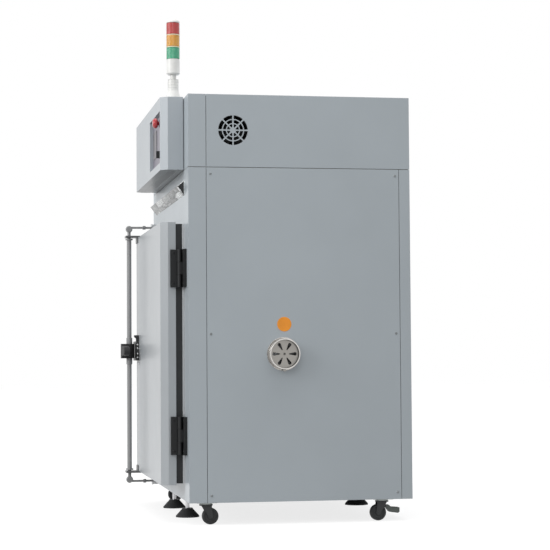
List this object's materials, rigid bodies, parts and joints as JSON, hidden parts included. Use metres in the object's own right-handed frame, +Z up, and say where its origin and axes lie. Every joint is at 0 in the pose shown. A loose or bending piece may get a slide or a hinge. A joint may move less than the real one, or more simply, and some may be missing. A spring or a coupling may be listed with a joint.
{
  "type": "hot air drying oven",
  "caption": "Floor-standing hot air drying oven: insulated cabinet on castors, hinged door with a turning lock bar, control box, signal lamp and a side exhaust with a damper.",
  "frame": {"origin": "on the floor under the middle of the whole oven's bounding box", "axes": "+X towards the hinged side with the exhaust, +Y towards the back, +Z up"},
  "size_m": [1.242, 1.058, 1.961],
  "materials": {
    "cabinet_paint": "smooth light grey paint",
    "base_steel": "galvanised",
    "screw_steel": "bright",
    "seal_frame": "fine brushed",
    "chamber_steel": "fine brushed",
    "mineral_wool": "fibrous",
    "heater_elements": "dull, heat-tinted",
    "blower_motor": "semi-gloss",
    "blower_wheel": "satin",
    "cooling_fan_frame": "matte",
    "cooling_fan_rotor": "matte",
    "exhaust_port": "satin",
    "damper_disc": "satin",
    "door_paint": "glossy light paint",
    "door_inner_panel": "fine brushed",
    "door_gasket": "matte silicone",
    "hinge_black": "satin black",
    "lock_bar": "satin dark grey",
    "bar_brackets": "satin black",
    "bar_keepers": "satin",
    "lock_black": "moulded",
    "control_box": "smooth light grey paint",
    "control_panel": "smooth grey-violet",
    "temperature_controller": "glossy",
    "estop_button": "glossy red",
    "power_selector": "matte",
    "electrical_tray": "matte",
    "heat_deflector": "mirror-bright sheet",
    "deflector_caps": "matte",
    "lamp_body": "smooth white",
    "lens_green": "clear coloured",
    "lens_amber": "clear coloured",
    "lens_red": "clear coloured",
    "castor_steel": "zinc grey",
    "castor_wheel": "matte",
    "levelling_foot": "matte",
    "shelf_wire": "bright wire",
    "cable_gland": "matte"
  },
  "bodies": {
    "cabinet": {"front_frame": "cabinet_paint", "side_panel_right": "cabinet_paint", "side_panel_left": "cabinet_paint", "rear_panel": "cabinet_paint", "upper_fascia": "cabinet_paint", "top_cover": "cabinet_paint", "base_pan": "base_steel", "compartment_floor": "base_steel", "panel_screws": "screw_steel", "seal_frame": "seal_frame", "chamber_liner": "chamber_steel", "air_panels": "chamber_steel", "shelf_runners": "chamber_steel", "insulation": "mineral_wool", "heater_elements": "heater_elements", "blower_motor": "blower_motor", "cooling_fan_frame": "cooling_fan_frame", "exhaust_port": "exhaust_port", "hinge_frame_leaves": "hinge_black", "bar_keepers": "bar_keepers", "control_box": "control_box", "control_panel": "control_panel", "temperature_controller": "temperature_controller", "electrical_tray": "electrical_tray", "heat_deflector": "heat_deflector", "deflector_caps": "deflector_caps", "lamp_body": "lamp_body", "lamp_lens_green": "lens_green", "lamp_lens_amber": "lens_amber", "lamp_lens_red": "lens_red", "castor_plates": "castor_steel", "cable_gland": "cable_gland"},
    "door": {"door_shell": "door_paint", "door_inner_panel": "door_inner_panel", "door_insulation": "mineral_wool", "door_gasket": "door_gasket", "hinge_door_leaves": "hinge_black", "bar_brackets": "bar_brackets", "lock_base": "lock_black"},
    "lock_bar": {"lock_bar": "lock_bar", "lock_lever": "lock_black"},
    "damper": {"damper_disc": "damper_disc"},
    "estop": {"estop_button": "estop_button"},
    "selector": {"power_selector": "power_selector"},
    "blower": {"blower_wheel": "blower_wheel"},
    "cooling_fan": {"cooling_fan_rotor": "cooling_fan_rotor"},
    "shelf_lower": {"shelf_lower": "shelf_wire"},
    "shelf_upper": {"shelf_upper": "shelf_wire"},
    "castor_front_right": {"castor_fork_front_right": "castor_steel"},
    "wheel_front_right": {"castor_wheel_front_right": "castor_wheel"},
    "foot_front_right": {"levelling_foot_front_right": "levelling_foot"},
    "castor_front_left": {"castor_fork_front_left": "castor_steel"},
    "wheel_front_left": {"castor_wheel_front_left": "castor_wheel"},
    "foot_front_left": {"levelling_foot_front_left": "levelling_foot"},
    "castor_rear_right": {"castor_fork_rear_right": "castor_steel"},
    "wheel_rear_right": {"castor_wheel_rear_right": "castor_wheel"},
    "foot_rear_right": {"levelling_foot_rear_right": "levelling_foot"},
    "castor_rear_left": {"castor_fork_rear_left": "castor_steel"},
    "wheel_rear_left": {"castor_wheel_rear_left": "castor_wheel"},
    "foot_rear_left": {"levelling_foot_rear_left": "levelling_foot"}
  },
  "joints": [
    {"name": "door_hinge", "type": "hinge", "parent": "cabinet", "child": "door", "pos_m": [0.484, -0.387, 0.65], "axis": [0, 0, 1], "range_deg": [0, 110]},
    {"name": "bar_turn", "type": "hinge", "parent": "door", "child": "lock_bar", "pos_m": [-0.444, -0.493, 0.6535], "axis": [0, 0, 1], "range_deg": [-75, 15]},
    {"name": "damper_turn", "type": "hinge", "parent": "cabinet", "child": "damper", "pos_m": [0.604, 0, 0.648], "axis": [1, 0, 0], "range_deg": [0, 30]},
    {"name": "estop_press", "type": "slide", "parent": "cabinet", "child": "estop", "axis": [0, 1, 0], "range_m": [0, 0.005]},
    {"name": "selector_turn", "type": "hinge", "parent": "cabinet", "child": "selector", "pos_m": [0.381, -0.447, 1.432], "axis": [0, 1, 0], "range_deg": [0, 90]},
    {"name": "blower_spin", "type": "hinge", "parent": "cabinet", "child": "blower", "pos_m": [-0.019, -0.0415, 1.2], "axis": [0, 0, 1], "continuous": true},
    {"name": "cooling_fan_spin", "type": "hinge", "parent": "cabinet", "child": "cooling_fan", "pos_m": [0.56, -0.191, 1.507], "axis": [1, 0, 0], "continuous": true},
    {"name": "shelf_lower_slide", "type": "slide", "parent": "cabinet", "child": "shelf_lower", "axis": [0, -1, 0], "range_m": [0, 0.04]},
    {"name": "shelf_upper_slide", "type": "slide", "parent": "cabinet", "child": "shelf_upper", "axis": [0, -1, 0], "range_m": [0, 0.04]},
    {"name": "castor_swivel_front_right", "type": "hinge", "parent": "cabinet", "child": "castor_front_right", "pos_m": [0.527, -0.295, 0.072], "axis": [0, 0, 1], "continuous": true},
    {"name": "wheel_roll_front_right", "type": "hinge", "parent": "castor_front_right", "child": "wheel_front_right", "pos_m": [0.527, -0.279, 0.0315], "axis": [1, 0, 0], "continuous": true},
    {"name": "foot_thread_front_right", "type": "slide", "parent": "cabinet", "child": "foot_front_right", "axis": [0, 0, -1], "range_m": [-0.03, 0.015]},
    {"name": "castor_swivel_front_left", "type": "hinge", "parent": "cabinet", "child": "castor_front_left", "pos_m": [-0.565, -0.295, 0.072], "axis": [0, 0, 1], "continuous": true},
    {"name": "wheel_roll_front_left", "type": "hinge", "parent": "castor_front_left", "child": "wheel_front_left", "pos_m": [-0.565, -0.279, 0.0315], "axis": [1, 0, 0], "continuous": true},
    {"name": "foot_thread_front_left", "type": "slide", "parent": "cabinet", "child": "foot_front_left", "axis": [0, 0, -1], "range_m": [-0.03, 0.015]},
    {"name": "castor_swivel_rear_right", "type": "hinge", "parent": "cabinet", "child": "castor_rear_right", "pos_m": [0.527, 0.395, 0.072], "axis": [0, 0, 1], "continuous": true},
    {"name": "wheel_roll_rear_right", "type": "hinge", "parent": "castor_rear_right", "child": "wheel_rear_right", "pos_m": [0.527, 0.379, 0.0315], "axis": [1, 0, 0], "continuous": true},
    {"name": "foot_thread_rear_right", "type": "slide", "parent": "cabinet", "child": "foot_rear_right", "axis": [0, 0, -1], "range_m": [-0.004, 0.045]},
    {"name": "castor_swivel_rear_left", "type": "hinge", "parent": "cabinet", "child": "castor_rear_left", "pos_m": [-0.565, 0.395, 0.072], "axis": [0, 0, 1], "continuous": true},
    {"name": "wheel_roll_rear_left", "type": "hinge", "parent": "castor_rear_left", "child": "wheel_rear_left", "pos_m": [-0.565, 0.379, 0.0315], "axis": [1, 0, 0], "continuous": true},
    {"name": "foot_thread_rear_left", "type": "slide", "parent": "cabinet", "child": "foot_rear_left", "axis": [0, 0, -1], "range_m": [-0.004, 0.045]}
  ]
}
